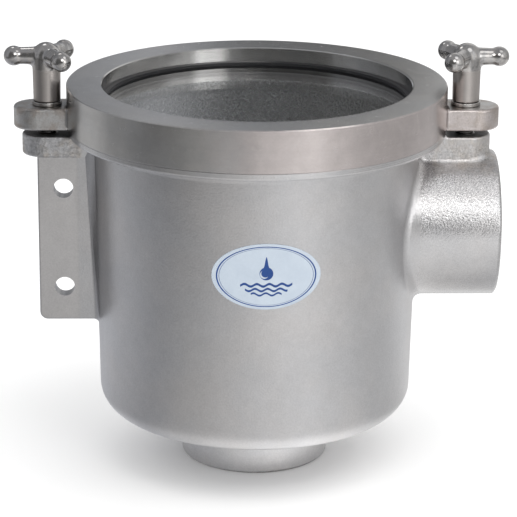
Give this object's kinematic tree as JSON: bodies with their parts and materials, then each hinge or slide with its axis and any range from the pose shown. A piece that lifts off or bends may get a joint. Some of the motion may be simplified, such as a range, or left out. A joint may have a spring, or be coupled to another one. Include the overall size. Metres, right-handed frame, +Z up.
{
  "type": "sea water strainer",
  "caption": "Cast stainless sea water strainer: tapered bowl, side inlet, bottom outlet, bulkhead plate, ring cover with sight window, hand knobs and lift-out basket.",
  "frame": {"origin": "centre of the bottom outlet's end face, on the bowl's axis, which is also the centre of the underside of the bounding box", "axes": "+Z up the bowl's axis, +X towards the side inlet, so the bulkhead plate is at -X and the label faces -Y"},
  "size_m": [0.2513, 0.19, 0.2152],
  "materials": {
    "cast_stainless": "bead-blasted satin casting",
    "machined_stainless": "turned, fine machining marks",
    "polished_stainless": "polished casting, turned satin stem",
    "stud_stainless": "turned",
    "sheet_stainless": "cold-rolled sheet",
    "wire_stainless": "drawn wire",
    "black_rubber": "matte",
    "clear_window": "clear polycarbonate disc",
    "label_film": "printed film, satin"
  },
  "bodies": {
    "root": {"strainer_body": "cast_stainless", "cover_ring": "machined_stainless", "window_gasket": "black_rubber", "sight_window": "clear_window", "bowl_seal": "black_rubber", "left_stud": "stud_stainless", "right_stud": "stud_stainless", "basket_wall": "sheet_stainless", "basket_floor": "sheet_stainless", "basket_rim": "sheet_stainless", "basket_foot_band": "sheet_stainless", "basket_left_ear": "sheet_stainless", "basket_right_ear": "sheet_stainless", "ear_rivets": "sheet_stainless", "label": "label_film"},
    "left_washer": {"left_washer": "stud_stainless"},
    "left_knob": {"left_hand_knob": "polished_stainless"},
    "right_washer": {"right_washer": "stud_stainless"},
    "right_knob": {"right_hand_knob": "polished_stainless"},
    "bail": {"basket_handle": "wire_stainless"}
  },
  "joints": [
    {"name": "left_knob_lift", "type": "slide", "parent": "root", "child": "left_washer", "axis": [0, 0, 1], "range_m": [0, 0.012]},
    {"name": "left_knob_turn", "type": "hinge", "parent": "left_washer", "child": "left_knob", "pos_m": [-0.1046, 0, 0.1958], "axis": [0, 0, 1], "range_deg": [0, 2880]},
    {"name": "right_knob_lift", "type": "slide", "parent": "root", "child": "right_washer", "axis": [0, 0, 1], "range_m": [0, 0.012]},
    {"name": "right_knob_turn", "type": "hinge", "parent": "right_washer", "child": "right_knob", "pos_m": [0.1046, 0, 0.1958], "axis": [0, 0, 1], "range_deg": [0, 2880]},
    {"name": "bail_swing", "type": "hinge", "parent": "root", "child": "bail", "pos_m": [0, 0, 0.08], "axis": [-1, 0, 0], "range_deg": [0, 180]}
  ],
  "couplings": [
    {"joint": "left_knob_lift", "follows": "left_knob_turn", "m_per_rad": 0.00023873},
    {"joint": "right_knob_lift", "follows": "right_knob_turn", "m_per_rad": 0.00023873}
  ]
}
